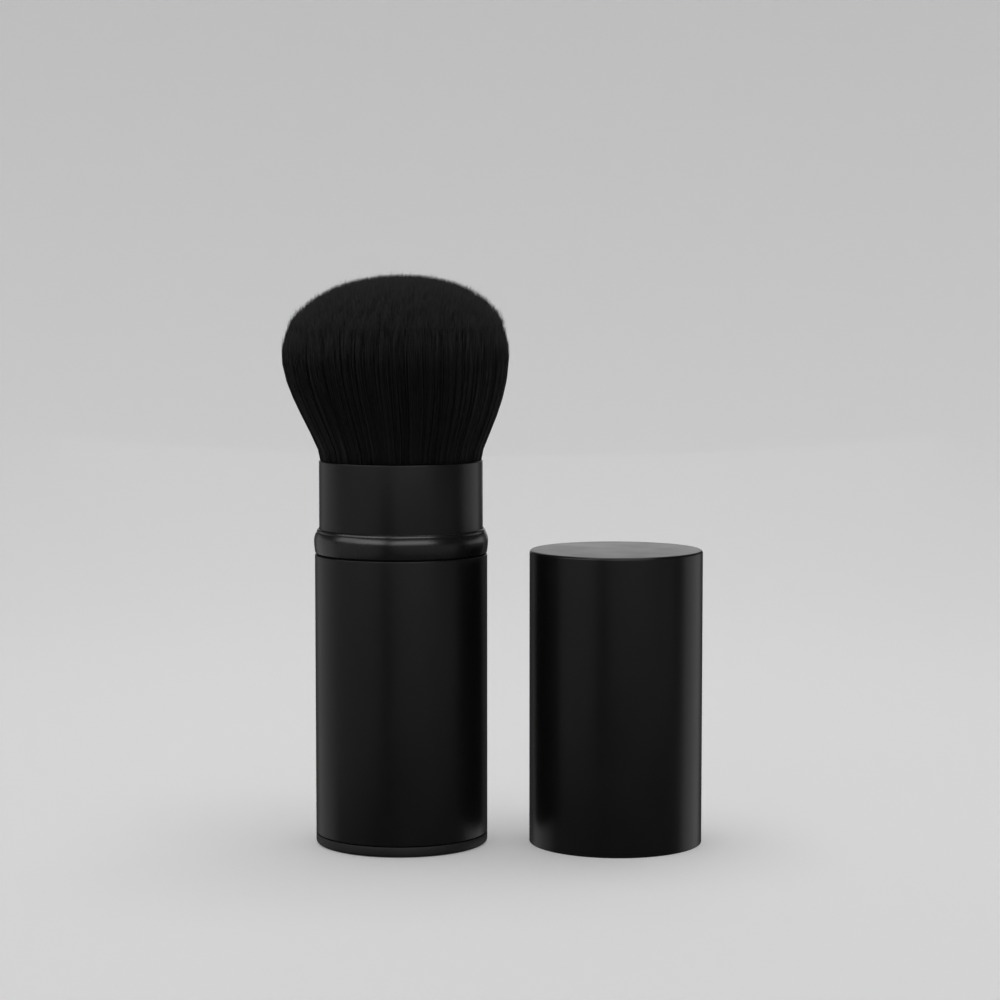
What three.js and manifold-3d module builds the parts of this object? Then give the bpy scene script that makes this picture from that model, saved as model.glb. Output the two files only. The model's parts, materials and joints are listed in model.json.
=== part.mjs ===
import * as THREE from "three";
import { mergeVertices } from "three/addons/utils/BufferGeometryUtils.js";
import Module from "manifold-3d";

// A retractable makeup brush with its cap standing beside it, in millimetres, +Z up.
// The origin is the centre of the foot's underside, and the cap stands towards +X.
// The foot, barrel, ferrule and hair stay still. The sleeve slides up round them to cover the hair.

const wasm = await Module();
wasm.setup();

// Heights of the brush
const footHeight = 2;
const seamHeight = 55.75;
const collarHeight = 4.9;
const ferruleRise = 13.05;
const hairShoulderRise = 20.4;
const hairDomeRise = 14.9;

// Sleeve and the ring glued in its lower end
const sleeveRadius = 16.5;
const sleeveWall = 0.6;
const sleeveEdgeShare = 0.45;
const neckWallShare = 0.5;
const neckHeightShare = 0.6;
const bushHeight = 6.5;
const bushWall = 1.4;

// Collar
const collarProud = 0.15;
const seamGap = 0.3;

// Key grooves and keys
const keyCount = 3;
const keyWidth = 2.2;
const keyDepthShare = 0.5;
const keyHeightShare = 0.45;

// O-ring and the detents it drops into
const ringSectionShare = 0.7;
const ringHeightShare = 0.2;
const ringSteps = 8;
const detentDepthShare = 0.2;

// Barrel, plug and ferrule
const barrelWall = 1.4;
const ferruleWall = 0.45;
const ferruleTuck = 3.2;
const plugFloor = 1.5;
const plugWall = 1;
const plugCupDepth = 7.5;
const spigotDepth = 7;
const spigotWall = 1.6;

// Foot and weight
const registerHeight = 8;
const registerWall = 1.6;
const weightHeight = 6;
const footEdgeShare = 0.35;

// Hair
const hairShoulderRadius = 21.6;
const rootDepth = 2;
const centreRingCount = 4;
const nodeRingCount = 2;
const strandsInFirstRing = 6;
const strandWidthShare = 0.31;
const strandSinkShare = 0.12;
const tipLength = 3;
const tipScatter = 1;
const flareLagShare = 0.25;
const domeFullnessShare = 0.075;
const kneeShares = { few: [0.5], many: [0.28, 0.66] };
const kneeRingShares = { none: 0.45, few: 0.85 };
const ringStaggerShare = 1 / 3;
const goldenShare = (Math.sqrt(5) - 1) / 2;
const ringNodes = ["inner", "middle", "outer"];

// Cap
const capHeight = 56.5;
const capSpacing = 41.2;
const capWall = 0.45;
const capEndWall = 0.5;
const capEdgeRadius = 1;
const linerNeckWall = 0.35;
const linerWall = 0.95;
const linerEndWall = 0.9;
const linerMouthStep = 0.4;

// Clearances
const slideClearance = 0.15;
const glueGap = 0.05;
const capFit = 0.1;
const ferruleRelief = 0.25;
const restGap = 0.15;
const stopGap = 0.25;

const overrun = 1;
const flats = 48;
const rootFlats = 24;
const edgeSteps = 3;
const beadSteps = 5;
const quarterTurn = Math.PI / 2;

// Radii, each worked out from the piece that it fits
const sleeveBore = sleeveRadius - sleeveWall;
const neckRadius = sleeveBore + sleeveWall * neckWallShare;
const ferruleRadius = sleeveBore - ferruleRelief;
const ferruleBore = ferruleRadius - ferruleWall;
const collarBore = ferruleRadius + slideClearance;
const collarRadius = sleeveRadius + collarProud;
const bushRadius = sleeveBore - glueGap;
const bushBore = bushRadius - bushWall;
const barrelRadius = bushBore - slideClearance;
const barrelBore = barrelRadius - barrelWall;
const plugRadius = ferruleBore - glueGap;
const cupBore = plugRadius - plugWall;
const registerRadius = barrelBore - glueGap;
const weightRadius = registerRadius - registerWall - glueGap;
const linerNeckBore = ferruleRadius + capFit;
const linerRadius = linerNeckBore + linerNeckWall;
const linerBore = linerRadius - linerWall;
const capBore = linerRadius + glueGap;
const capRadius = capBore + capWall;
const capInnerEdge = Math.max(capEdgeRadius - capWall, capWall);

// Heights, each worked out from the piece below
const collarTop = seamHeight + collarHeight;
const ferruleFoot = collarTop - ferruleTuck;
const ferruleTop = collarTop + ferruleRise;
const shoulderHeight = ferruleTop + hairShoulderRise;
const sleeveFoot = footHeight + restGap;
const bushFoot = sleeveFoot + restGap;
const bushTop = bushFoot + bushHeight;
const travel = ferruleFoot - bushTop - stopGap;
const ringSection = bushWall * ringSectionShare;
const ringHeight = bushFoot + bushHeight * ringHeightShare;

function spot(radius, height) {
  return new THREE.Vector2(radius, height);
}

// Rounds a corner of a profile, from one direction to another about the arc's centre.
function bend(radius, height, reachOut, reachUp, from, to, steps) {
  return new THREE.EllipseCurve(radius, height, reachOut, reachUp, from, to, to < from).getPoints(steps);
}

// Leaves only positions, joins shared vertices and drops the triangles that have no area.
function closed(geometry) {
  geometry.deleteAttribute("normal");
  geometry.deleteAttribute("uv");
  const merged = mergeVertices(geometry);
  const kept = [];
  const index = merged.index.array;
  for (let i = 0; i < index.length; i += 3) {
    const [a, b, c] = [index[i], index[i + 1], index[i + 2]];
    if (a !== b && b !== c && c !== a) {
      kept.push(a, b, c);
    }
  }
  merged.setIndex(kept);
  return merged;
}

// Turns a closed profile about the Z axis. The profile runs up the outside and down the inside.
function turned(profile, sides = flats) {
  const geometry = new THREE.LatheGeometry([...profile, profile[0]], sides);
  geometry.rotateX(quarterTurn);
  return closed(geometry);
}

function solid(geometry) {
  return new wasm.Manifold(
    new wasm.Mesh({
      numProp: 3,
      vertProperties: new Float32Array(geometry.attributes.position.array),
      triVerts: new Uint32Array(geometry.index.array),
    }),
  );
}

function surface(manifold) {
  const mesh = manifold.getMesh();
  const geometry = new THREE.BufferGeometry();
  geometry.setAttribute("position", new THREE.BufferAttribute(mesh.vertProperties, mesh.numProp));
  geometry.setIndex(new THREE.BufferAttribute(mesh.triVerts, 1));
  return geometry;
}

// A bar that reaches from one radius to another at each key's place round the axis.
function keyBars(width, inner, outer, low, high) {
  const bars = [];
  for (let i = 0; i < keyCount; i += 1) {
    const bar = new THREE.BoxGeometry(outer - inner, width, high - low);
    bar.translate((inner + outer) / 2, 0, (low + high) / 2);
    bar.rotateZ((2 * Math.PI * i) / keyCount);
    bars.push(solid(closed(bar)));
  }
  return bars;
}

function finish(colour, roughness, metalness) {
  return new THREE.MeshStandardMaterial({ color: colour, roughness, metalness, flatShading: true });
}

const part = new THREE.Group();

function place(name, geometry, material, group = part) {
  const mesh = new THREE.Mesh(geometry, material);
  mesh.name = name;
  group.add(mesh);
}

// Foot: a flange as wide as the sleeve, and a register ring that goes up into the barrel
function foot() {
  const edge = footHeight * footEdgeShare;
  const registerTop = footHeight + registerHeight;
  return turned([
    spot(0, 0),
    ...bend(sleeveRadius - edge, edge, edge, edge, -quarterTurn, 0, edgeSteps),
    spot(sleeveRadius, footHeight),
    spot(registerRadius, footHeight),
    spot(registerRadius, registerTop),
    spot(registerRadius - registerWall, registerTop),
    spot(registerRadius - registerWall, footHeight),
    spot(0, footHeight),
  ]);
}

function baseWeight() {
  return turned([
    spot(0, footHeight),
    spot(weightRadius, footHeight),
    spot(weightRadius, footHeight + weightHeight),
    spot(0, footHeight + weightHeight),
  ]);
}

// Barrel: stands on the foot and carries the plug.
// The two detents are the O-ring's places at both ends of travel.
function innerBarrel() {
  const keyDepth = barrelWall * keyDepthShare;
  const detentDepth = barrelWall * detentDepthShare;
  const halfDetent = ringSection / 2;
  const detents = [ringHeight, ringHeight + travel].flatMap((height) => [
    spot(barrelRadius, height - halfDetent),
    spot(barrelRadius - detentDepth, height),
    spot(barrelRadius, height + halfDetent),
  ]);
  const tube = turned([
    spot(barrelBore, footHeight),
    spot(barrelRadius, footHeight),
    ...detents,
    spot(barrelRadius, ferruleFoot),
    spot(barrelBore, ferruleFoot),
  ]);
  const grooves = keyBars(
    keyWidth + 2 * slideClearance,
    barrelRadius - keyDepth - slideClearance,
    barrelRadius + overrun,
    footHeight - overrun,
    ferruleFoot + overrun,
  );
  return surface(grooves.reduce((rest, groove) => rest.subtract(groove), solid(tube)));
}

// Plug: a spigot in the barrel's bore, a floor that seats on the barrel's rim, and a cup inside the ferrule
function ferrulePlug() {
  const cupFloor = ferruleFoot + plugFloor;
  const cupTop = cupFloor + plugCupDepth;
  const spigotFoot = ferruleFoot - spigotDepth;
  return turned([
    spot(0, ferruleFoot),
    spot(registerRadius - spigotWall, ferruleFoot),
    spot(registerRadius - spigotWall, spigotFoot),
    spot(registerRadius, spigotFoot),
    spot(registerRadius, ferruleFoot),
    spot(plugRadius, ferruleFoot),
    spot(plugRadius, cupTop),
    spot(cupBore, cupTop),
    spot(cupBore, cupFloor),
    spot(0, cupFloor),
  ]);
}

function gluePlug() {
  const low = ferruleFoot + plugFloor;
  return turned([
    spot(0, low),
    spot(cupBore - glueGap, low),
    spot(cupBore - glueGap, low + plugCupDepth),
    spot(0, low + plugCupDepth),
  ]);
}

// Ferrule: a drawn tube whose top edge is rounded over
function ferrule() {
  const edge = ferruleWall / 2;
  return turned([
    spot(ferruleBore, ferruleFoot),
    spot(ferruleRadius, ferruleFoot),
    ...bend(ferruleRadius - edge, ferruleTop - edge, edge, edge, 0, 2 * quarterTurn, 2 * edgeSteps),
  ]);
}

// Sleeve: its outside is turned down at the top to a neck that the collar is glued over
function sleeveShell() {
  const edge = (sleeveRadius - neckRadius) * sleeveEdgeShare;
  return turned([
    spot(sleeveBore, sleeveFoot),
    spot(sleeveRadius, sleeveFoot),
    ...bend(sleeveRadius - edge, seamHeight - edge, edge, edge, 0, quarterTurn, edgeSteps),
    spot(neckRadius, seamHeight),
    spot(neckRadius, seamHeight + collarHeight * neckHeightShare),
    spot(sleeveBore, seamHeight + collarHeight * neckHeightShare),
  ]);
}

// Collar: a band whose crown curves in to a fine groove, and a rounded lip above it.
// The shares are of its wall, and of its height from the top down.
function collar() {
  const wall = collarRadius - collarBore;
  const lipShares = { out: 0.42, tall: 0.153, foot: 0.106 };
  const grooveShares = { out: 0.24, top: 0.11, foot: 0.133 };
  const crownShares = { out: 0.62, top: 0.137, foot: 0.47 };
  const outTo = (share) => collarBore + wall * share;
  const downTo = (share) => collarTop - collarHeight * share;
  const neckTop = seamHeight + collarHeight * neckHeightShare + glueGap;
  const lipWide = wall * lipShares.out;
  const lipTall = collarHeight * lipShares.tall;
  const lipTurn = Math.asin(1 - lipShares.foot / lipShares.tall);
  const crownRise = collarHeight * (crownShares.foot - crownShares.top);
  const crownDepth = wall * (1 - crownShares.out);
  const crownRadius = (crownRise ** 2 + crownDepth ** 2) / (2 * crownDepth);
  const crownTurn = Math.asin(crownRise / crownRadius);
  const crownCentre = spot(collarRadius - crownRadius, downTo(crownShares.foot));
  return turned([
    spot(neckRadius + glueGap, seamHeight + seamGap),
    spot(collarRadius, seamHeight + seamGap),
    ...bend(crownCentre.x, crownCentre.y, crownRadius, crownRadius, 0, crownTurn, beadSteps),
    spot(outTo(grooveShares.out), downTo(grooveShares.foot)),
    spot(outTo(grooveShares.out), downTo(grooveShares.top)),
    ...bend(collarBore, collarTop - lipTall, lipWide, lipTall, lipTurn, quarterTurn, beadSteps),
    spot(collarBore, neckTop),
    spot(neckRadius + glueGap, neckTop),
  ]);
}

// Bush: a ring in the sleeve's lower end.
// It has a seat for the O-ring, and keys that run in the barrel's grooves.
function lowerBush() {
  const seatReach = ringSection / 2 + glueGap;
  const keyDepth = barrelWall * keyDepthShare;
  const keyInner = barrelRadius - keyDepth;
  const keyFoot = bushTop - bushHeight * keyHeightShare;
  const ring = turned([
    spot(bushBore, bushFoot),
    spot(bushRadius, bushFoot),
    spot(bushRadius, bushTop),
    spot(bushBore, bushTop),
    spot(bushBore, ringHeight + seatReach),
    spot(bushBore + ringSection, ringHeight + seatReach),
    spot(bushBore + ringSection, ringHeight - seatReach),
    spot(bushBore, ringHeight - seatReach),
  ]);
  const keys = keyBars(keyWidth, keyInner, bushBore + bushWall / 2, keyFoot, bushTop);
  return surface(keys.reduce((whole, key) => whole.add(key), solid(ring)));
}

// O-ring: lies in the bush's seat and just touches the barrel
function oRing() {
  const halfSection = ringSection / 2;
  const middle = barrelRadius + glueGap + halfSection;
  const round = bend(middle, ringHeight, halfSection, halfSection, -quarterTurn, 3 * quarterTurn, ringSteps);
  round.pop();
  return turned(round);
}

const strandRings = centreRingCount + nodeRingCount * ringNodes.length;
const ringSpacing = plugRadius / (strandRings + 2 * strandWidthShare);
const strandReach = ringSpacing * strandWidthShare;
const rootTop = ferruleTop - rootDepth;
const rootFoot = ferruleFoot + plugFloor + plugCupDepth + glueGap;
const strandFoot = rootTop - (rootTop - rootFoot) * strandSinkShare;
const knee = ferruleTop + hairShoulderRise * kneeShares.few[0];

// How far the hair has spread at a height, as a share of its spread at the ferrule's rim.
// It opens like a quarter of a sine wave that lags a little at its foot.
function hairSpread(height) {
  const flare = hairShoulderRadius / plugRadius - 1;
  if (height < ferruleTop) {
    return 1 - ((hairSpread(knee) - 1) * (ferruleTop - height)) / (knee - ferruleTop);
  }
  const climbed = Math.min((height - ferruleTop) / hairShoulderRise, 1);
  return 1 + flare * Math.sin(climbed * quarterTurn) ** (1 + flareLagShare);
}

// Heights where a strand bends: none near the axis, where it runs almost straight, and more near the rim
function knees(share) {
  if (share < kneeRingShares.none) {
    return [];
  }
  const shares = share < kneeRingShares.few ? kneeShares.few : kneeShares.many;
  return shares.map((climb) => ferruleTop + hairShoulderRise * climb);
}

// The dome's height over a share of its radius: an ellipse that is a little fuller at its shoulders
function domeRise(share) {
  const power = 2 * (1 + domeFullnessShare);
  return hairDomeRise * (1 - share ** power) ** (1 / power);
}

// One strand: a three-sided bar that follows the head's outline out and up, and ends in a point on the dome
function addStrand(positions, index, distance, turn, drop) {
  const share = distance / plugRadius;
  const tip = shoulderHeight + domeRise(share) - drop;
  const first = positions.length / 3;
  const levels = [strandFoot, ...knees(share), tip - tipLength];
  for (const height of levels) {
    const spread = hairSpread(height);
    for (let side = 0; side < 3; side += 1) {
      const angle = turn + (2 * Math.PI * side) / 3;
      positions.push(
        spread * (distance * Math.cos(turn) + strandReach * Math.cos(angle)),
        spread * (distance * Math.sin(turn) + strandReach * Math.sin(angle)),
        height,
      );
    }
  }
  const spreadAtTip = hairSpread(tip);
  positions.push(spreadAtTip * distance * Math.cos(turn), spreadAtTip * distance * Math.sin(turn), tip);
  index.push(first, first + 2, first + 1);
  for (let side = 0; side < 3; side += 1) {
    const next = (side + 1) % 3;
    for (let level = 0; level < levels.length - 1; level += 1) {
      const low = first + 3 * level;
      const high = low + 3;
      index.push(low + side, low + next, high + next);
      index.push(low + side, high + next, high + side);
    }
    const last = first + 3 * (levels.length - 1);
    index.push(last + side, last + next, first + 3 * levels.length);
  }
}

// A node of hair: the strands of some rings, fused to their slice of the packed root
function bristles(firstRing, lastRing) {
  const positions = [];
  const index = [];
  for (let ring = firstRing; ring <= lastRing; ring += 1) {
    const count = Math.max(1, ring * strandsInFirstRing);
    for (let i = 0; i < count; i += 1) {
      const turn = (2 * Math.PI * (i + ring * ringStaggerShare)) / count;
      const scatter = (i * goldenShare + ring * (1 - goldenShare)) % 1;
      addStrand(positions, index, ring * ringSpacing, turn, tipScatter * scatter);
    }
  }
  const strands = new THREE.BufferGeometry();
  strands.setAttribute("position", new THREE.Float32BufferAttribute(positions, 3));
  strands.setIndex(index);
  const rootSpacing = ringSpacing * hairSpread((strandFoot + rootTop) / 2);
  const inner = firstRing === 0 ? 0 : (firstRing - 1 / 2) * rootSpacing + glueGap;
  const outer = lastRing === strandRings ? plugRadius : (lastRing + 1 / 2) * rootSpacing - glueGap;
  const slice = [
    spot(inner, rootFoot),
    spot(outer, rootFoot),
    spot(outer, rootTop),
    spot(inner, rootTop),
  ];
  return surface(solid(turned(slice, rootFlats)).add(solid(strands)));
}

// Cap: a drawn cup that stands on its mouth
function capShell() {
  const ceiling = capHeight - capEndWall;
  const outside = spot(capRadius - capEdgeRadius, capHeight - capEdgeRadius);
  const inside = spot(capBore - capInnerEdge, ceiling - capInnerEdge);
  return turned([
    spot(capBore, 0),
    spot(capRadius, 0),
    ...bend(outside.x, outside.y, capEdgeRadius, capEdgeRadius, 0, quarterTurn, beadSteps),
    spot(0, capHeight),
    spot(0, ceiling),
    ...bend(inside.x, inside.y, capInnerEdge, capInnerEdge, quarterTurn, 0, edgeSteps),
  ]);
}

// Liner: thin where it grips the ferrule, thicker above, where its step meets the ferrule's rim
function capLiner() {
  const top = capHeight - capEndWall - glueGap;
  const ceiling = top - linerEndWall;
  const edge = capInnerEdge + glueGap;
  const step = ferruleRise + stopGap;
  return turned([
    spot(linerNeckBore, linerMouthStep),
    spot(linerRadius, linerMouthStep),
    ...bend(linerRadius - edge, top - edge, edge, edge, 0, quarterTurn, edgeSteps),
    spot(0, top),
    spot(0, ceiling),
    spot(linerBore, ceiling),
    spot(linerBore, step),
    spot(linerNeckBore, step),
  ]);
}

const satinBlack = () => finish(0x1b1b1d, 0.42, 0.6);
const mouldedBlack = () => finish(0x161617, 0.5, 0);
const hairBlack = () => finish(0x191717, 0.8, 0);

place("foot", foot(), mouldedBlack());
place("base_weight", baseWeight(), finish(0x8d8f92, 0.4, 1));
place("inner_barrel", innerBarrel(), mouldedBlack());
place("ferrule_plug", ferrulePlug(), mouldedBlack());
place("glue_plug", gluePlug(), finish(0xb9a577, 0.3, 0));
place("ferrule", ferrule(), satinBlack());
place("bristles_centre", bristles(0, centreRingCount), hairBlack());
ringNodes.forEach((name, i) => {
  const lastRing = centreRingCount + nodeRingCount * (i + 1);
  place(`bristles_${name}`, bristles(lastRing - nodeRingCount + 1, lastRing), hairBlack());
});

place("sleeve_shell", sleeveShell(), satinBlack());
place("collar", collar(), finish(0x111112, 0.18, 0));
place("lower_bush", lowerBush(), mouldedBlack());
place("o_ring", oRing(), finish(0x0c0c0c, 0.7, 0));

const cap = new THREE.Group();
cap.position.x = capSpacing;
part.add(cap);
place("cap_shell", capShell(), satinBlack(), cap);
place("cap_liner", capLiner(), finish(0x242425, 0.5, 0), cap);

export default part;
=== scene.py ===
import bpy
import json
import math
import numpy as np
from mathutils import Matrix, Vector


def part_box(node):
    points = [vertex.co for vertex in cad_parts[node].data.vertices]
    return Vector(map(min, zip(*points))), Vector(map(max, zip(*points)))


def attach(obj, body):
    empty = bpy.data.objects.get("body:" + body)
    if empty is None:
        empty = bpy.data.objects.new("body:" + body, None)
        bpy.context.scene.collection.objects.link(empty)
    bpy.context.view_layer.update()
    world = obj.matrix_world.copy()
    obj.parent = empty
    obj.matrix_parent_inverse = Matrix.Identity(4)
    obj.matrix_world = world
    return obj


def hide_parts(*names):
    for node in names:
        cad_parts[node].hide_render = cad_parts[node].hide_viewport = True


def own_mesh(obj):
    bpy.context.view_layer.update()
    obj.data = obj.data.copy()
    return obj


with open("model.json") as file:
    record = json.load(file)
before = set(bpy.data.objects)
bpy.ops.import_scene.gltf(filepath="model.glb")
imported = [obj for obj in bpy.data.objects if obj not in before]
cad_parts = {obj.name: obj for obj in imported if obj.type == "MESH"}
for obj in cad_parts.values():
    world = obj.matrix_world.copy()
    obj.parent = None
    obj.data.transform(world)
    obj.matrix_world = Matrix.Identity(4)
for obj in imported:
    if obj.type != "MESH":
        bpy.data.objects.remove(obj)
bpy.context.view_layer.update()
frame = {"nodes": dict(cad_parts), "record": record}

# A retractable makeup brush and its cap, in metres, +Z up. Each dressed piece takes its size from
# the CAD nodes that it stands for.

MM = 0.001
TURN = 2 * math.pi
QUARTER = math.pi / 2


def place_of(node):
    """Where a turned node's axis stands, its outer radius, its foot and its top."""
    low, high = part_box(node)
    return (low[0] + high[0]) / 2, (high[1] - low[1]) / 2, low[2], high[2]


_, SLEEVE_R, SLEEVE_FOOT, SLEEVE_NECK_TOP = place_of("sleeve_shell")
_, COLLAR_R, COLLAR_FOOT, COLLAR_TOP = place_of("collar")
_, FERRULE_R, FERRULE_FOOT, FERRULE_TOP = place_of("ferrule")
_, FOOT_R, FOOT_BOTTOM, REGISTER_TOP = place_of("foot")
_, BARREL_R, BARREL_FOOT, BARREL_TOP = place_of("inner_barrel")
CAP_X, CAP_R, CAP_MOUTH, CAP_TOP = place_of("cap_shell")
_, LINER_R, LINER_MOUTH, LINER_TOP = place_of("cap_liner")
_, PLUG_R, _, _ = place_of("ferrule_plug")
_, _, RING_FOOT, RING_TOP = place_of("o_ring")
_, _, ROOT_FOOT, _ = place_of("bristles_outer")
HAIR_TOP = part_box("bristles_centre")[1][2]
TRAVEL = frame["record"]["behaviour"]["joints"][0]["range_m"][1]

# The walls, clearances and edges that the frame's boxes don't show
SLEEVE_WALL = 0.6 * MM
SLIDE_CLEARANCE = 0.15 * MM
FERRULE_WALL = 0.45 * MM
BARREL_WALL = 1.4 * MM
SLOT_COUNT = 3
SLOT_WIDTH = 2.5 * MM
SLOT_DEPTH = 0.85 * MM
DETENT_DEPTH = 0.28 * MM
CAP_WALL = 0.45 * MM
CAP_END_WALL = 0.5 * MM
CAP_CORNER = 1.0 * MM
CAP_INNER_EDGE = CAP_CORNER - CAP_WALL
CAP_OUTER_EDGE = 0.5 * MM
LINER_NECK_WALL = 0.35 * MM
LINER_WALL = 0.95 * MM
LINER_END_WALL = 0.9 * MM
SEAM_GAP = 0.3 * MM
SEAM = COLLAR_FOOT - SEAM_GAP
GLUE_GAP = 0.05 * MM
FINE_EDGE = 0.08 * MM


# Camera

FOCAL_PX = 2705
IMAGE_SIDE = 1000
SENSOR = 36
CLIP_START = 0.01
CLIP_END = 20
CAMERA_DISTANCE = 517.7 * MM
CAMERA_PITCH = math.radians(4.61)
AIM = Vector((18.94 * MM, 0, 66.0 * MM))


def make_camera():
    data = bpy.data.cameras.new("camera")
    data.sensor_width = SENSOR
    data.lens = FOCAL_PX / IMAGE_SIDE * SENSOR
    data.clip_start = CLIP_START
    data.clip_end = CLIP_END
    camera = bpy.data.objects.new("camera", data)
    bpy.context.collection.objects.link(camera)
    back = Vector((0, -math.cos(CAMERA_PITCH), math.sin(CAMERA_PITCH)))
    camera.location = AIM + back * CAMERA_DISTANCE
    camera.rotation_mode = "QUATERNION"
    camera.rotation_quaternion = (-back).to_track_quat("-Z", "Y")
    bpy.context.scene.camera = camera


# Studio

WHITE = (1, 1, 1, 1)
FLOOR_DROP = 0.02 * MM
FLOOR_R = 0.35
BOWL_R = 1.25
BOWL_HEIGHT = 0.9
BOWL_STEPS = 24
BOWL_AROUND = 96
AIR_GLOW = 0.05
TOP_LIGHT_BACK = 0.05
TOP_LIGHT_HEIGHT = 0.85
TOP_LIGHT_SIDE = 0.7
TOP_LIGHT_GLOW = 2.1
SCREEN_R = 0.6

# Each screen has its first and last bearing, its foot, its top and its glow. Bearings are in degrees from
# the camera's side, and grow to the right.
SCREENS = {
    "left_screen": (-146, -98, -0.30, 0.16, 0.31),
    "right_screen": (98, 142, -0.30, 0.16, 0.45),
    "back_screen": (163, 197, 0.02, 0.42, 0.74),
    "side_left_screen": (-94, -60, 0.22, 0.52, 1.7),
    "front_left_screen": (-60, -22, 0.22, 0.52, 2.4),
    "front_right_screen": (-13, 46, 0.22, 0.52, 2.3),
    "low_left_screen": (-98, -26, -0.18, 0.12, 0.21),
    "low_right_screen": (-10, 80, -0.13, 0.12, 0.2),
}


def add_panel(name, place, aim, size, glow, gloss_only=True):
    """A soft rectangular light of an even glow at a place, turned to face another."""
    data = bpy.data.lights.new(name, "AREA")
    data.shape = "RECTANGLE"
    data.size, data.size_y = size
    data.energy = glow * math.pi * size[0] * size[1]
    panel = bpy.data.objects.new(name, data)
    bpy.context.collection.objects.link(panel)
    panel.visible_camera = False
    panel.visible_diffuse = not gloss_only
    panel.location = place
    panel.rotation_mode = "QUATERNION"
    panel.rotation_quaternion = (Vector(aim) - Vector(place)).to_track_quat("-Z", "Y")


def add_screen(name, start, end, low, high, glow):
    """A gloss-only panel that stands on a circle around the object, from one bearing to another."""
    bearing = math.radians((start + end) / 2)
    width = 2 * SCREEN_R * math.tan(math.radians(end - start) / 2)
    middle = (low + high) / 2
    place = (AIM.x + SCREEN_R * math.sin(bearing), -SCREEN_R * math.cos(bearing), middle)
    add_panel(name, place, (AIM.x, 0, middle), (width, high - low), glow)


def make_bowl():
    """A pale bowl with a flat floor, which is plain from every side."""
    outline = [(0.0, -FLOOR_DROP), (FLOOR_R, -FLOOR_DROP)]
    for i in range(1, BOWL_STEPS + 1):
        turn = QUARTER * i / BOWL_STEPS
        radius = FLOOR_R + (BOWL_R - FLOOR_R) * math.sin(turn)
        outline.append((radius, BOWL_HEIGHT * (1 - math.cos(turn)) - FLOOR_DROP))
    bowl = revolve("studio_bowl", outline, BOWL_AROUND, centre=AIM.x, closed=False)
    bowl.data.materials.append(studio_paint())
    bowl.visible_glossy = False
    bowl.visible_shadow = False


def make_air():
    """An even, dim light from all around."""
    world = bpy.data.worlds.new("studio_air")
    bpy.context.scene.world = world
    world.use_nodes = True
    background = world.node_tree.nodes["Background"]
    background.inputs["Color"].default_value = WHITE
    background.inputs["Strength"].default_value = AIR_GLOW


def make_lights():
    """A soft light overhead, and screens that give the glossy surfaces their long highlights."""
    place = (AIM.x, TOP_LIGHT_BACK, TOP_LIGHT_HEIGHT)
    size = (TOP_LIGHT_SIDE, TOP_LIGHT_SIDE)
    add_panel("top_light", place, (AIM.x, 0, 0), size, TOP_LIGHT_GLOW, gloss_only=False)
    for name, screen in SCREENS.items():
        add_screen(name, *screen)


def make_studio():
    make_bowl()
    make_air()
    make_lights()
    view = bpy.context.scene.view_settings
    view.view_transform = "Standard"
    view.look = "None"


# Materials

NOISE_LOW = 0.3
NOISE_HIGH = 0.7


def grey(level):
    return (level, level, level)


def shader_of(material):
    return material.node_tree.nodes["Principled BSDF"]


def new_material(name, sockets):
    """A material whose shader has the given values on its own sockets."""
    material = bpy.data.materials.new(name)
    material.use_nodes = True
    for socket, value in sockets.items():
        shader_of(material).inputs[socket].default_value = value
    return material


def add_node(material, kind, **values):
    """A shader node, with its properties and its inputs set by name."""
    node = material.node_tree.nodes.new(kind)
    for key, value in values.items():
        if key in node.inputs:
            node.inputs[key].default_value = value
        else:
            setattr(node, key, value)
    return node


def link(material, start, end):
    material.node_tree.links.new(start, end)


def link_to_shader(material, start, socket):
    link(material, start, shader_of(material).inputs[socket])


def stretched_texture(material, kind, stretch, **values):
    """A texture in the object's own space, drawn out by a share along each axis."""
    coords = add_node(material, "ShaderNodeTexCoord")
    mapping = add_node(material, "ShaderNodeMapping", Scale=stretch)
    texture = add_node(material, kind, **values)
    link(material, coords.outputs["Object"], mapping.inputs["Vector"])
    link(material, mapping.outputs["Vector"], texture.inputs["Vector"])
    return texture


def stretched_noise(material, scale, stretch, detail=3.0):
    return stretched_texture(material, "ShaderNodeTexNoise", stretch, Scale=scale, Detail=detail)


def colour_by(material, source, low, high, start=0.35, end=0.65):
    """Colours the surface between two colours by a value."""
    node = add_node(material, "ShaderNodeValToRGB")
    node.color_ramp.elements[0].position = start
    node.color_ramp.elements[0].color = (*low, 1)
    node.color_ramp.elements[1].position = end
    node.color_ramp.elements[1].color = (*high, 1)
    link(material, source, node.inputs["Fac"])
    link_to_shader(material, node.outputs["Color"], "Base Color")


def roughen_by(material, source, low, high):
    """Sets the roughness between two values by a noise."""
    node = add_node(material, "ShaderNodeMapRange")
    node.inputs["From Min"].default_value = NOISE_LOW
    node.inputs["From Max"].default_value = NOISE_HIGH
    node.inputs["To Min"].default_value = low
    node.inputs["To Max"].default_value = high
    link(material, source, node.inputs["Value"])
    link_to_shader(material, node.outputs["Result"], "Roughness")


def raise_by(material, source, strength, depth, invert=False):
    """Raises the surface by a value, or sinks it."""
    bump = add_node(material, "ShaderNodeBump", Strength=strength, Distance=depth)
    bump.invert = invert
    link(material, source, bump.inputs["Height"])
    link_to_shader(material, bump.outputs["Normal"], "Normal")


def studio_paint():
    """Pale matte paint with a faint, even glow."""
    return new_material("studio_grey", {
        "Base Color": (*grey(0.82), 1),
        "Roughness": 0.85,
        "Specular IOR Level": 0.2,
        "Emission Color": WHITE,
        "Emission Strength": 0.21,
    })


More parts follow.
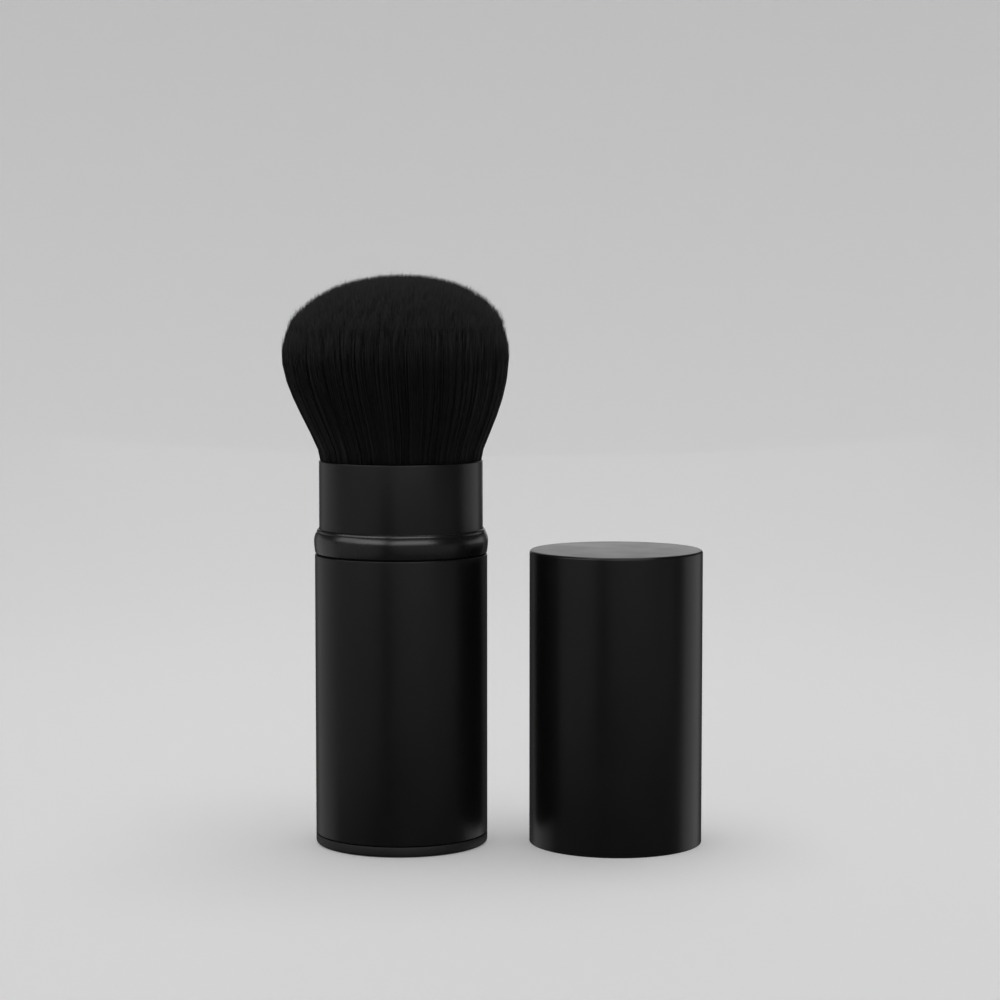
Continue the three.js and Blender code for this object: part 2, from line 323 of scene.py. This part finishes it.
def coated_material(name, dark, light, rough, specular, grain, coat=0.0, coat_rough=0.12):
    """A surface with faint clouds in its colour, slight wear in its gloss and a fine grain."""
    material = new_material(name, {
        "Specular IOR Level": specular,
        "Coat Weight": coat,
        "Coat Roughness": coat_rough,
    })
    clouds = stretched_noise(material, scale=60, stretch=(1, 1, 0.5))
    colour_by(material, clouds.outputs["Fac"], dark, light)
    rubs = stretched_noise(material, scale=140, stretch=(1, 1, 0.3), detail=6)
    roughen_by(material, rubs.outputs["Fac"], *rough)
    fine = stretched_noise(material, scale=2600, stretch=(1, 1, 1), detail=2)
    raise_by(material, fine.outputs["Fac"], strength=grain, depth=0.02 * MM)
    return material


def satin_metal():
    return coated_material(
        "satin_black_anodised", dark=grey(0.0040), light=grey(0.0065), rough=(0.28, 0.34), specular=0.42,
        grain=0.25
    )


def gloss_plastic():
    return coated_material(
        "gloss_black_plastic", dark=grey(0.004), light=grey(0.006), rough=(0.24, 0.30), specular=0.5,
        grain=0.08, coat=0.3, coat_rough=0.24
    )


def moulded_plastic():
    return coated_material(
        "moulded_black_plastic", dark=grey(0.010), light=grey(0.015), rough=(0.45, 0.55), specular=0.4,
        grain=0.5
    )


def liner_plastic():
    return coated_material(
        "liner_plastic", dark=grey(0.020), light=grey(0.028), rough=(0.40, 0.50), specular=0.4, grain=0.3
    )


def ring_rubber():
    return coated_material(
        "ring_rubber", dark=grey(0.008), light=grey(0.012), rough=(0.55, 0.70), specular=0.3, grain=0.4
    )


def steel():
    material = coated_material(
        "plain_steel", dark=grey(0.42), light=grey(0.52), rough=(0.30, 0.42), specular=0.5, grain=0.4
    )
    shader_of(material).inputs["Metallic"].default_value = 1.0
    return material


def resin():
    dark, light = (0.45, 0.32, 0.14), (0.52, 0.38, 0.18)
    return coated_material("set_resin", dark, light, rough=(0.18, 0.3), specular=0.5, grain=0.1)


# Near-black matte finish of the seam ring: painted shade in the seam under the collar.
def seam_shade_black():
    return coated_material(
        "seam_shade_black", dark=grey(0.002), light=grey(0.003), rough=(0.8, 0.95), specular=0.05, grain=0.3
    )


def packed_fibre():
    """The packed fibre under the strands, whose ends show as fine cells, drawn out along the fibres. Each
    cell darkens towards its edge: painted shade in the gaps between the fibre ends.
    """
    material = new_material("packed_black_fibre", {"Specular IOR Level": 0.1, "Roughness": 0.8})
    cells = stretched_texture(material, "ShaderNodeTexVoronoi", stretch=(1, 1, 0.08), Scale=5500)
    distance = cells.outputs["Distance"]
    # Darker towards each cell's edge: painted shade between the fibre ends.
    colour_by(material, distance, grey(0.008), grey(0.001), start=0.2, end=0.6)
    raise_by(material, distance, strength=0.6, depth=0.1 * MM, invert=True)
    return material


def loose_fibre():
    """Near-black fibre: each strand has its own tone, and the gloss is drawn out along the fibres."""
    material = new_material("black_fibre", {
        "Specular IOR Level": 0.2,
        "Sheen Weight": 0.02,
        "Sheen Roughness": 0.5,
    })
    tone = add_node(material, "ShaderNodeAttribute", attribute_name="tone")
    colour_by(material, tone.outputs["Fac"], grey(0.0035), grey(0.014), start=0.0, end=1.0)
    streaks = stretched_noise(material, scale=900, stretch=(1, 1, 0.08))
    roughen_by(material, streaks.outputs["Fac"], 0.42, 0.6)
    return material


# Turned pieces

AROUND = 192
SHARP_ANGLE = math.radians(32)


def skin(name, ring_points, closed):
    """A smooth piece whose rings of points are joined in turn. A closed one joins its ends too."""
    around = max(len(points) for points in ring_points)
    vertices, rings = [], []
    for points in ring_points:
        first = len(vertices)
        rings.append([first] * around if len(points) == 1 else list(range(first, first + around)))
        vertices.extend(points)
    faces = []
    pairs = list(zip(rings, rings[1:] + rings[:1])) if closed else list(zip(rings, rings[1:]))
    for low, high in pairs:
        for i in range(around):
            j = (i + 1) % around
            corners = [low[i], low[j], high[j], high[i]]
            face = [c for k, c in enumerate(corners) if c != corners[k - 1]]
            if len(set(face)) >= 3:
                faces.append(face)
    mesh = bpy.data.meshes.new(name)
    mesh.from_pydata(vertices, [], faces)
    mesh.shade_smooth()
    mesh.set_sharp_from_angle(angle=SHARP_ANGLE)
    mesh.update()
    piece = bpy.data.objects.new(name, mesh)
    bpy.context.collection.objects.link(piece)
    return piece


def revolve(name, profile, around, centre=0.0, closed=True):
    """Turns (radius, height) points about a vertical axis."""
    angles = np.arange(around) * TURN / around
    cosines, sines = np.cos(angles), np.sin(angles)
    ring_points = []
    for radius, height in profile:
        if radius == 0:
            ring_points.append([(centre, 0.0, height)])
        else:
            ring_points.append(list(zip(centre + radius * cosines, radius * sines, [height] * around)))
    return skin(name, ring_points, closed)


def arc(radius, height, reach, start, end, steps=6, reach_up=None):
    """Points of a rounded corner about its centre. Turns are in quarters: 0 is outwards and 1 is up."""
    up = reach if reach_up is None else reach_up
    turns = [(start + (end - start) * i / steps) * QUARTER for i in range(steps + 1)]
    return [(radius + reach * math.cos(t), height + up * math.sin(t)) for t in turns]


def dress(piece, material, body, slot, *nodes):
    """Gives a piece its finish and body, and lets it stand for its CAD nodes."""
    piece.data.materials.append(material)
    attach(piece, body)
    if nodes:
        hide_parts(*nodes)
    return piece


def make_sleeve(material):
    bore = SLEEVE_R - SLEEVE_WALL
    neck = bore + SLEEVE_WALL / 2
    edge = 0.16 * MM
    profile = [
        *arc(bore + FINE_EDGE, SLEEVE_FOOT + FINE_EDGE, FINE_EDGE, -2, -1, 2),
        *arc(SLEEVE_R - edge, SLEEVE_FOOT + edge, edge, -1, 0, 4),
        *arc(SLEEVE_R - edge, SEAM - edge, edge, 0, 1, 5),
        (neck, SEAM),
        (neck, SLEEVE_NECK_TOP),
        (bore, SLEEVE_NECK_TOP),
    ]
    piece = revolve("sleeve_tube", profile, AROUND)
    dress(piece, material, "sleeve", "satin_aluminium", "sleeve_shell")


def make_collar(material):
    """A band whose crown curves in to a fine groove, with a rounded lip above it."""
    bore = FERRULE_R + SLIDE_CLEARANCE
    neck = SLEEVE_R - SLEEVE_WALL / 2 + GLUE_GAP
    neck_top = SLEEVE_NECK_TOP + GLUE_GAP
    wall = COLLAR_R - bore
    height = COLLAR_TOP - SEAM
    foot_edge = 0.12 * MM
    # Shares of the wall, outwards
    lip_out, groove_out, crown_out, foot_out = 0.42, 0.24, 0.53, 0.76
    # Shares of the height, downwards
    lip_reach, lip_foot = 0.153, 0.106
    groove_top, groove_foot = 0.11, 0.133
    crown_top, crown_foot = 0.137, 0.47
    lip_turn = math.asin(1 - lip_foot / lip_reach) / QUARTER

    def out(share):
        return bore + wall * share

    def down(share):
        return COLLAR_TOP - height * share

    def bulge(rise, depth):
        """The radius of an arc that leaves the widest place upright, and its turn."""
        radius = (rise**2 + depth**2) / (2 * depth)
        return radius, math.asin(rise / radius) / QUARTER

    crown_r, crown_turn = bulge(down(crown_top) - down(crown_foot), COLLAR_R - out(crown_out))
    skirt_r, skirt_turn = bulge(down(crown_foot) - COLLAR_FOOT - foot_edge, COLLAR_R - out(foot_out))
    profile = [
        (neck, COLLAR_FOOT),
        *arc(out(foot_out) - foot_edge, COLLAR_FOOT + foot_edge, foot_edge, -1, 0, 4)[:-1],
        *arc(COLLAR_R - skirt_r, down(crown_foot), skirt_r, -skirt_turn, 0, 10)[:-1],
        *arc(COLLAR_R - crown_r, down(crown_foot), crown_r, 0, crown_turn, 16),
        (out(groove_out), down(groove_foot)),
        (out(groove_out), down(groove_top)),
        *arc(bore, down(lip_reach), wall * lip_out, lip_turn, 1, 10, reach_up=height * lip_reach),
        (bore, neck_top),
        (neck, neck_top),
    ]
    piece = revolve("collar_ring", profile, AROUND)
    dress(piece, material, "sleeve", "gloss_black", "collar")


def make_ferrule(material):
    bore = FERRULE_R - FERRULE_WALL
    edge = FERRULE_WALL / 2
    profile = [
        (bore, FERRULE_FOOT),
        (FERRULE_R, FERRULE_FOOT),
        *arc(FERRULE_R - edge, FERRULE_TOP - edge, edge, 0, 2, 10),
    ]
    piece = revolve("ferrule_tube", profile, AROUND)
    dress(piece, material, "core", "satin_aluminium", "ferrule")


def make_seam_shade_ring(material):
    """A thin matte-black ring at the bottom of the seam under the collar: painted shade that stands in
    for the shade of a deeper groove.
    """
    neck = SLEEVE_R - SLEEVE_WALL / 2
    depth = 0.04 * MM
    profile = [(neck, SEAM), (neck + depth, SEAM), (neck + depth, COLLAR_FOOT), (neck, COLLAR_FOOT)]
    piece = revolve("seam_shade_ring", profile, AROUND)
    dress(piece, material, "sleeve", "moulded_black")


def make_foot(material):
    """The moulded foot, with its register ring and a shallow ring pressed into its underside."""
    flange_top = BARREL_FOOT
    register = BARREL_R - BARREL_WALL - GLUE_GAP
    register_wall = 1.6 * MM
    edge_share, recess_out_share, recess_in_share = 0.35, 0.86, 0.80
    edge = (flange_top - FOOT_BOTTOM) * edge_share
    recess_out, recess_in = FOOT_R * recess_out_share, FOOT_R * recess_in_share
    recess_depth = 0.35 * MM
    profile = [
        (0, FOOT_BOTTOM),
        *arc(recess_in - FINE_EDGE, FOOT_BOTTOM + FINE_EDGE, FINE_EDGE, -1, 0, 2),
        (recess_in, FOOT_BOTTOM + recess_depth),
        (recess_out, FOOT_BOTTOM + recess_depth),
        *arc(recess_out + FINE_EDGE, FOOT_BOTTOM + FINE_EDGE, FINE_EDGE, -2, -1, 2),
        *arc(FOOT_R - edge, FOOT_BOTTOM + edge, edge, -1, 0, 7),
        *arc(FOOT_R - FINE_EDGE, flange_top - FINE_EDGE, FINE_EDGE, 0, 1, 2),
        (register, flange_top),
        (register, REGISTER_TOP),
        (register - register_wall, REGISTER_TOP),
        (register - register_wall, flange_top),
        (0, flange_top),
    ]
    piece = revolve("foot_moulding", profile, AROUND, closed=False)
    dress(piece, material, "core", "moulded_black", "foot")


def make_cap(material):
    bore = CAP_R - CAP_WALL
    ceiling = CAP_TOP - CAP_END_WALL
    mouth_edge = 2 * FINE_EDGE
    profile = [
        *arc(bore + FINE_EDGE, CAP_MOUTH + FINE_EDGE, FINE_EDGE, -2, -1, 2),
        *arc(CAP_R - mouth_edge, CAP_MOUTH + mouth_edge, mouth_edge, -1, 0, 3),
        *arc(CAP_R - CAP_OUTER_EDGE, CAP_TOP - CAP_OUTER_EDGE, CAP_OUTER_EDGE, 0, 1, 8),
        (0, CAP_TOP),
        (0, ceiling),
        *arc(bore - CAP_INNER_EDGE, ceiling - CAP_INNER_EDGE, CAP_INNER_EDGE, 1, 0, 4),
    ]
    piece = revolve("cap_cup", profile, AROUND, centre=CAP_X)
    dress(piece, material, "cap", "satin_aluminium", "cap_shell")


def make_liner(material):
    """The liner is thin where it grips the ferrule, and thicker above a small lead-in."""
    neck_bore, bore = LINER_R - LINER_NECK_WALL, LINER_R - LINER_WALL
    edge = CAP_INNER_EDGE
    ceiling = LINER_TOP - LINER_END_WALL
    step_clearance = 0.25 * MM
    step = FERRULE_TOP - COLLAR_TOP + step_clearance
    lead = (neck_bore - bore) / 2
    profile = [
        *arc(neck_bore + FINE_EDGE, LINER_MOUTH + FINE_EDGE, FINE_EDGE, -2, -1, 2),
        (LINER_R, LINER_MOUTH),
        *arc(LINER_R - edge, LINER_TOP - edge, edge, 0, 1, 4),
        (0, LINER_TOP),
        (0, ceiling),
        *arc(bore - edge, ceiling - edge, edge, 1, 0, 6),
        (bore, step + lead),
        (bore + lead, step),
        (neck_bore, step),
    ]
    piece = revolve("liner_cup", profile, AROUND, centre=CAP_X)
    dress(piece, material, "cap", "liner", "cap_liner")


def make_barrel(material):
    """The tube that the sleeve runs on, with key slots and a shallow ring at both ends of the travel."""
    bore = BARREL_R - BARREL_WALL
    slot_floor = BARREL_R - SLOT_DEPTH
    slot_steps, land_points, ring_steps = 4, 56, 5
    rim_turn = math.asin(SLOT_WIDTH / 2 / BARREL_R)
    floor_turn = math.asin(SLOT_WIDTH / 2 / slot_floor)
    land = np.linspace(rim_turn, TURN / SLOT_COUNT - rim_turn, land_points)[:-1]

    plan = []
    for slot in range(SLOT_COUNT):
        middle = slot * TURN / SLOT_COUNT
        plan.append((middle - rim_turn, BARREL_R))
        for i in range(-slot_steps, slot_steps + 1):
            plan.append((middle + floor_turn * i / slot_steps, slot_floor))
        plan.extend((turn, BARREL_R) for turn in land + middle)

    half = (RING_TOP - RING_FOOT) / 2
    levels = [(BARREL_FOOT, 0.0)]
    for ring in (RING_FOOT + half, RING_FOOT + half + TRAVEL):
        for i in range(-ring_steps, ring_steps + 1):
            levels.append((ring + half * i / ring_steps, DETENT_DEPTH * (1 - (i / ring_steps) ** 2)))
    levels.append((BARREL_TOP, 0.0))

    def around(height, radii):
        return [(r * math.cos(turn), r * math.sin(turn), height) for r, (turn, _) in zip(radii, plan)]

    ring_points = []
    for height, drop in levels:
        ring_points.append(around(height, [min(BARREL_R - drop, limit) for _, limit in plan]))
    for height in (BARREL_TOP, BARREL_FOOT):
        ring_points.append(around(height, [bore] * len(plan)))
    piece = skin("barrel_tube", ring_points, closed=True)
    dress(piece, material, "core", "moulded_black", "inner_barrel")


def carry_over(material, node):
    """Gives a CAD node, which keeps its own shape, a better material."""
    data = frame["nodes"][node].data
    data.materials.clear()
    data.materials.append(material)


# Hair

SECTORS = 12
FIRST_SEED = 1000
RIM_R = PLUG_R
HEAD_WIDEST = 21.6 * MM
SHOULDER_RISE_SHARE = 0.578
SHOULDER = FERRULE_TOP + (HAIR_TOP - FERRULE_TOP) * SHOULDER_RISE_SHARE
FLARE_POWER = 1.25
DOME_POWER = 2.15
LEAN = -1.0 * MM
LEAN_DELAY = 1.4
LEAN_POWER = 1.5

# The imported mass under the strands
CORE_DEPTH = 1.3 * MM
CORE_SIDE_SHARE = 0.7
CORE_ROOT_GAP = 0.25 * MM
CORE_ROOT_RISE = 3.5 * MM
CORE_SIDE_RINGS = 9
CORE_TOP_RINGS = 8
CORE_TOP_REACH = (0.93, 0.1)
CORE_COLUMNS = 6

# The strands. A reach is a share of the head's width, from 0 in its middle to 1 at its rim.
SIDE_STRANDS, SIDE_STEPS, SIDE_REACH, SIDE_TONES = 800, 7, (0.86, 1.0), (0.35, 0.65)
CROWN_STRANDS, CROWN_STEPS, CROWN_REACH, CROWN_TONES = 3200, 2, (0.0, 0.93), (0.0, 0.5)
TONE_POWER = 1.6
STRAND_R = 0.06 * MM
STRAND_TAPER = 0.25
STRAND_WIDTHS = (0.8, 1.2)
SIDE_ROOT = 1.2 * MM
CROWN_LENGTH = 5 * MM
CROWN_WANDER = 0.5 * MM
CROWN_TILT = 0.15 * MM
TIP_LIFT = 0.25 * MM
TIP_SCATTER = 0.35 * MM
SIDEWAYS_SCATTER = 0.30 * MM
OUTWARDS_SCATTER = 0.14 * MM
SCATTER_POWER = 1.5
SURFACE_DEPTH = 0.05 * MM
SURFACE_SLACK = 0.3 * MM
STRAY_RISE = 0.9 * MM
STRAY_SHARE = 0.03
STRAY_POWER = 3
# Waves over the head: how often each repeats around it, and how far it turns from the middle to the rim
TUFT_RISE = 0.25 * MM
TUFT_WAVE = (17, 31)
TUFT_SWELL = (5, -13)
LOCK_WIDTH = 0.5 * MM
LOCK_WAVE = (46, 9)
LOCK_DRIFT = 2.5
LOCK_DRIFT_COUNT = 7


def envelope(height):
    """The head's outer radius at a height, as far up as its widest place."""
    climb = np.clip((height - FERRULE_TOP) / (SHOULDER - FERRULE_TOP), 0, 1)
    return RIM_R + (HEAD_WIDEST - RIM_R) * np.sin(climb * QUARTER) ** FLARE_POWER


def dome(reach):
    """The height of the dome over the place that a share of the width reaches."""
    return SHOULDER + (HAIR_TOP - SHOULDER) * np.clip(1 - reach**DOME_POWER, 0, 1) ** (1 / DOME_POWER)


def lean(height):
    """How far the head leans along X at a height. It starts and ends upright."""
    climb = np.clip((height - FERRULE_TOP) / (HAIR_TOP - FERRULE_TOP), 0, 1) ** LEAN_DELAY
    return LEAN * np.sin(climb * math.pi) ** LEAN_POWER


def core_outline():
    """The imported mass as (radius, height) points, from the root on the axis to the top on the axis."""
    outline = [(0.0, ROOT_FOOT)]
    for height in np.linspace(ROOT_FOOT + CORE_ROOT_RISE, SHOULDER, CORE_SIDE_RINGS):
        gap = CORE_ROOT_GAP if height < FERRULE_TOP else CORE_DEPTH * CORE_SIDE_SHARE
        outline.append((envelope(height) - gap, height))
    for reach in np.linspace(*CORE_TOP_REACH, CORE_TOP_RINGS):
        outline.append((reach * (HEAD_WIDEST - CORE_DEPTH), dome(reach) - CORE_DEPTH))
    outline.append((0.0, HAIR_TOP - CORE_DEPTH))
    return outline


def hair_core(sector):
    """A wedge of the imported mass, as (points, faces). Its last two faces are the flat ones."""
    start, end = sector * TURN / SECTORS, (sector + 1) * TURN / SECTORS
    outline = core_outline()
    points, grid = [], []
    for c in range(CORE_COLUMNS + 1):
        angle = start + (end - start) * c / CORE_COLUMNS
        column = []
        for i, (radius, height) in enumerate(outline):
            on_axis = i in (0, len(outline) - 1)
            if on_axis and c > 0:
                column.append(grid[0][i])
                continue
            column.append(len(points))
            points.append((radius * math.cos(angle) + lean(height), radius * math.sin(angle), height))
        grid.append(column)
    faces = []
    for left, right in zip(grid, grid[1:]):
        for i in range(len(outline) - 1):
            corners = [left[i], right[i], right[i + 1], left[i + 1]]
            faces.append([v for k, v in enumerate(corners) if v != corners[k - 1]])
    faces.append(list(reversed(grid[0])))
    faces.append(list(grid[-1]))
    return np.array(points), faces


def wave_angle(wave, angle, reach):
    around, outwards = wave
    return angle * around + reach * outwards


def strand_tips(rng, angle, reach):
    """The heights of the strands' tips: uneven, tufted, and a few of them stray."""
    count = len(angle)
    tip = dome(reach) - np.abs(rng.normal(0, TIP_SCATTER, count)) + TIP_LIFT
    tip += STRAY_RISE * rng.random(count) * (rng.random(count) < STRAY_SHARE)
    wave, swell = wave_angle(TUFT_WAVE, angle, reach), wave_angle(TUFT_SWELL, angle, reach)
    tip += TUFT_RISE * np.sin(wave) * np.sin(swell)
    tip += CROWN_TILT * reach * np.cos(angle)
    return tip


def strand_spines(rng, sector, count, steps, crown):
    """The strands' middle lines, each of steps + 1 points. Crown strands start inside the core."""
    angle = (sector + rng.random(count)) * TURN / SECTORS
    low, high = CROWN_REACH if crown else SIDE_REACH
    reach = np.sqrt(low**2 + (high**2 - low**2) * rng.random(count))
    tip = strand_tips(rng, angle, reach)
    foot = tip - CROWN_LENGTH if crown else np.full(count, FERRULE_TOP - SIDE_ROOT)
    sideways = rng.normal(0, SIDEWAYS_SCATTER, count)
    outwards = rng.normal(0, OUTWARDS_SCATTER, count)
    drift = LOCK_DRIFT * np.sin(angle * LOCK_DRIFT_COUNT)
    lock = LOCK_WIDTH * np.sin(angle * LOCK_WAVE[0] + drift + reach * LOCK_WAVE[1])
    climb = np.linspace(0, 1, steps + 1)
    heights = foot[:, None] + (tip - foot)[:, None] * climb
    rise = np.clip((heights - FERRULE_TOP) / (HAIR_TOP - FERRULE_TOP), 0, 1)
    radius = reach[:, None] * envelope(heights) + outwards[:, None] * rise * climb
    across = (sideways[:, None] + lock[:, None]) * rise**SCATTER_POWER
    if crown:
        radius = radius + rng.normal(0, CROWN_WANDER, count)[:, None] * climb
        across = across + rng.normal(0, CROWN_WANDER, count)[:, None] * climb
    stray = (rng.random(count) < STRAY_SHARE) * rng.random(count)
    radius = np.minimum(radius, envelope(heights) - SURFACE_DEPTH + SURFACE_SLACK * rise)
    radius = radius + STRAY_RISE * stray[:, None] * climb**STRAY_POWER
    cosine, sine = np.cos(angle)[:, None], np.sin(angle)[:, None]
    along_x = radius * cosine - across * sine + lean(heights)
    along_y = radius * sine + across * cosine
    return np.stack([along_x, along_y, heights], axis=-1)


def strand_faces(steps):
    """One strand's faces, as (quads, triangles): its sides, its foot and its tip."""
    tip = steps * 3
    quads, triangles = [], [(0, 2, 1)]
    for side in range(3):
        next_side = (side + 1) % 3
        triangles.append((tip - 3 + side, tip - 3 + next_side, tip))
    for step in range(steps - 1):
        for side in range(3):
            a, b = step * 3 + side, step * 3 + (side + 1) % 3
            quads.append((a, b, b + 3, a + 3))
    return np.array(quads), np.array(triangles)


def strands(rng, sector, count, steps, crown):
    """Tapered three-sided strands, as (points, quads, triangles, tones)."""
    spine = strand_spines(rng, sector, count, steps, crown)
    climb = np.linspace(0, 1, steps + 1)
    roll = rng.random(count) * TURN
    width = STRAND_R * (1 - STRAND_TAPER * climb) * rng.uniform(*STRAND_WIDTHS, count)[:, None]
    corners = []
    for side in range(3):
        turn = roll + side * TURN / 3
        offset = np.stack([np.cos(turn), np.sin(turn), np.zeros(count)], axis=-1)
        corners.append(spine[:, :-1] + offset[:, None, :] * width[:, :-1, None])
    rings = np.stack(corners, axis=2).reshape(count, steps * 3, 3)
    points = np.concatenate([rings, spine[:, -1:, :]], axis=1)
    per_strand = steps * 3 + 1
    starts = (np.arange(count) * per_strand)[:, None, None]
    quads, triangles = strand_faces(steps)
    darkest, span = CROWN_TONES if crown else SIDE_TONES
    tones = np.repeat(darkest + span * rng.random(count) ** TONE_POWER, per_strand)
    return (
        points.reshape(-1, 3),
        (quads[None] + starts).reshape(-1, 4),
        (triangles[None] + starts).reshape(-1, 3),
        tones,
    )


def hair_sector(sector, loose, packed):
    """One wedge of the head: its packed mass and the strands that stand on it."""
    rng = np.random.default_rng(FIRST_SEED + sector)
    points, faces = hair_core(sector)
    core_count = len(faces)
    tones = np.zeros(len(points))
    for count, steps, crown in ((SIDE_STRANDS, SIDE_STEPS, False), (CROWN_STRANDS, CROWN_STEPS, True)):
        more_points, quads, triangles, more_tones = strands(rng, sector, count, steps, crown)
        faces += (quads + len(points)).tolist() + (triangles + len(points)).tolist()
        points = np.concatenate([points, more_points])
        tones = np.concatenate([tones, more_tones])
    name = f"hair_{sector + 1:02d}"
    mesh = bpy.data.meshes.new(name)
    mesh.from_pydata(points.tolist(), [], faces)
    attribute = mesh.attributes.new("tone", "FLOAT", "POINT")
    attribute.data.foreach_set("value", tones.astype(np.float32))
    smooth, finish = np.ones(len(faces), bool), np.zeros(len(faces), np.int32)
    smooth[core_count - 2:core_count] = False
    finish[:core_count] = 1
    mesh.polygons.foreach_set("use_smooth", smooth)
    mesh.polygons.foreach_set("material_index", finish)
    mesh.materials.append(loose)
    mesh.materials.append(packed)
    mesh.update()
    piece = bpy.data.objects.new(name, mesh)
    bpy.context.collection.objects.link(piece)
    return piece


def make_hair(loose, packed):
    """The head in wedges, each fixed to the core."""
    for sector in range(SECTORS):
        piece = hair_sector(sector, loose, packed)
        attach(piece, "core")
        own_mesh(piece)
        if sector == 0:
            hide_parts("bristles_centre", "bristles_inner", "bristles_middle", "bristles_outer")


make_camera()
make_studio()

satin = satin_metal()
moulded = moulded_plastic()
make_sleeve(satin)
make_collar(gloss_plastic())
# The seam ring is painted shade in the seam under the collar.
make_seam_shade_ring(seam_shade_black())
make_ferrule(satin)
make_foot(moulded)
make_cap(satin)
make_barrel(moulded)
make_liner(liner_plastic())
make_hair(loose_fibre(), packed_fibre())
carry_over(moulded, "ferrule_plug")
carry_over(moulded, "lower_bush")
carry_over(steel(), "base_weight")
carry_over(resin(), "glue_plug")
carry_over(ring_rubber(), "o_ring")
